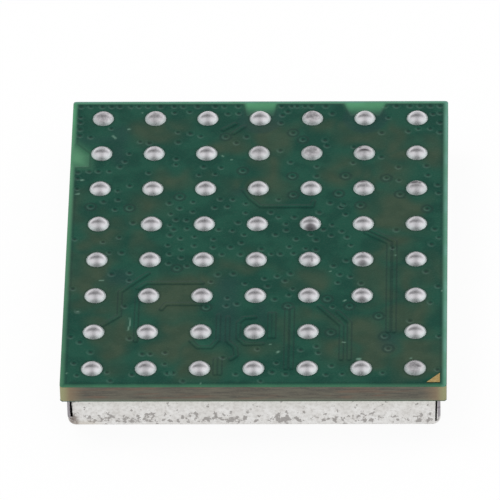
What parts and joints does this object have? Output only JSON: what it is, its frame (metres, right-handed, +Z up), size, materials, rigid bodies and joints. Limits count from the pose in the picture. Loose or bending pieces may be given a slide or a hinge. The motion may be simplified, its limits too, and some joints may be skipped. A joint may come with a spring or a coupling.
{
  "type": "radio module with a solder ball grid",
  "caption": "Small short-range radio module: green board with a grid of solder domes and a gold corner mark on one side, folded tinned shield can on the other",
  "frame": {"origin": "middle of the shield can's lid, on its outer face", "axes": "+Z up from the can's lid through the board to the solder domes; +Y along the columns of domes, away from the edge with the index mark; +X to the right, with the index mark at the front right"},
  "size_m": [0.0144, 0.016, 0.0025],
  "materials": {
    "laminate": "sawn glass and epoxy laminate, brown-grey layers at the edge",
    "green_mask": "dark green solder mask, satin, paler where no copper lies under it",
    "solder": "bright reflowed tin solder",
    "gold_plating": "matte gold plating",
    "tinned_sheet": "tin plated sheet, satin, with fine grey speckles",
    "tin_plating": "matte tin plating",
    "black_mould": "black moulding compound",
    "dark_ceramic": "dark fired ceramic",
    "bright_lid": "nickel plated lid",
    "pale_ceramic": "white glass ceramic",
    "tan_ceramic": "tan fired ceramic",
    "black_glaze": "black glazed ceramic",
    "blue_ceramic": "pale blue glass ceramic"
  },
  "bodies": {
    "root": {"circuit_board": "laminate", "ball_side_mask": "green_mask", "part_side_mask": "green_mask", "solder_balls": "solder", "index_mark": "gold_plating", "shield_can": "tinned_sheet", "can_land": "gold_plating", "can_solder": "solder", "component_solder": "solder", "radio_chip": "black_mould", "radio_chip_leads": "tin_plating", "flash_memory": "black_mould", "flash_memory_leads": "tin_plating", "power_amplifier": "black_mould", "power_amplifier_leads": "tin_plating", "crystal_base": "dark_ceramic", "crystal_lid": "bright_lid", "crystal_pads": "gold_plating", "band_filter": "pale_ceramic", "band_filter_ends": "tin_plating", "balun": "pale_ceramic", "balun_ends": "tin_plating", "voltage_regulator": "black_mould", "voltage_regulator_leads": "tin_plating", "capacitors": "tan_ceramic", "capacitor_ends": "tin_plating", "bulk_capacitors": "tan_ceramic", "bulk_capacitor_ends": "tin_plating", "resistors": "black_glaze", "resistor_ends": "tin_plating", "inductors": "blue_ceramic", "inductor_ends": "tin_plating", "ferrite_bead": "dark_ceramic", "ferrite_bead_ends": "tin_plating"}
  },
  "joints": []
}
